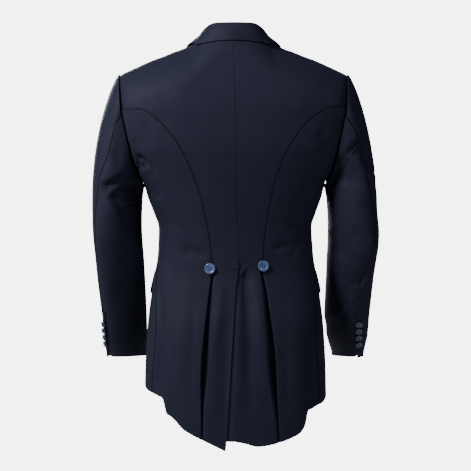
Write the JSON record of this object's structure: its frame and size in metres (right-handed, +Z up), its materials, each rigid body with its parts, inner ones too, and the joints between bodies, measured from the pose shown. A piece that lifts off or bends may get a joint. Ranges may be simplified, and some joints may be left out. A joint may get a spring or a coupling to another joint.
{
  "type": "western blazer",
  "caption": "Long tailored riding blazer with curved back seams, waist buttons, side pleats and a centre vent, filled out as if worn.",
  "frame": {"origin": "middle of the neck opening, level with the points where the shoulder seams meet the neck, where the wearer's neck and shoulders carry the coat", "axes": "+X to the wearer's left, +Y to the back, +Z up"},
  "size_m": [0.5832, 0.283, 0.8586],
  "materials": {
    "cloth": "matt",
    "button": "gloss"
  },
  "bodies": {
    "root": {"back_left": "cloth", "back_right": "cloth", "side_back_left": "cloth", "side_back_right": "cloth", "front_left": "cloth", "front_right": "cloth", "lapel_left": "cloth", "lapel_right": "cloth", "collar": "cloth", "top_sleeve_left": "cloth", "top_sleeve_right": "cloth", "under_sleeve_left": "cloth", "under_sleeve_right": "cloth", "pocket_flap_left": "cloth", "pocket_flap_right": "cloth", "waist_button_left": "button", "waist_button_right": "button", "front_button_1": "button", "front_button_2": "button", "front_button_3": "button", "sleeve_button_left_1": "button", "sleeve_button_left_2": "button", "sleeve_button_left_3": "button", "sleeve_button_left_4": "button", "sleeve_button_right_1": "button", "sleeve_button_right_2": "button", "sleeve_button_right_3": "button", "sleeve_button_right_4": "button"}
  },
  "joints": []
}
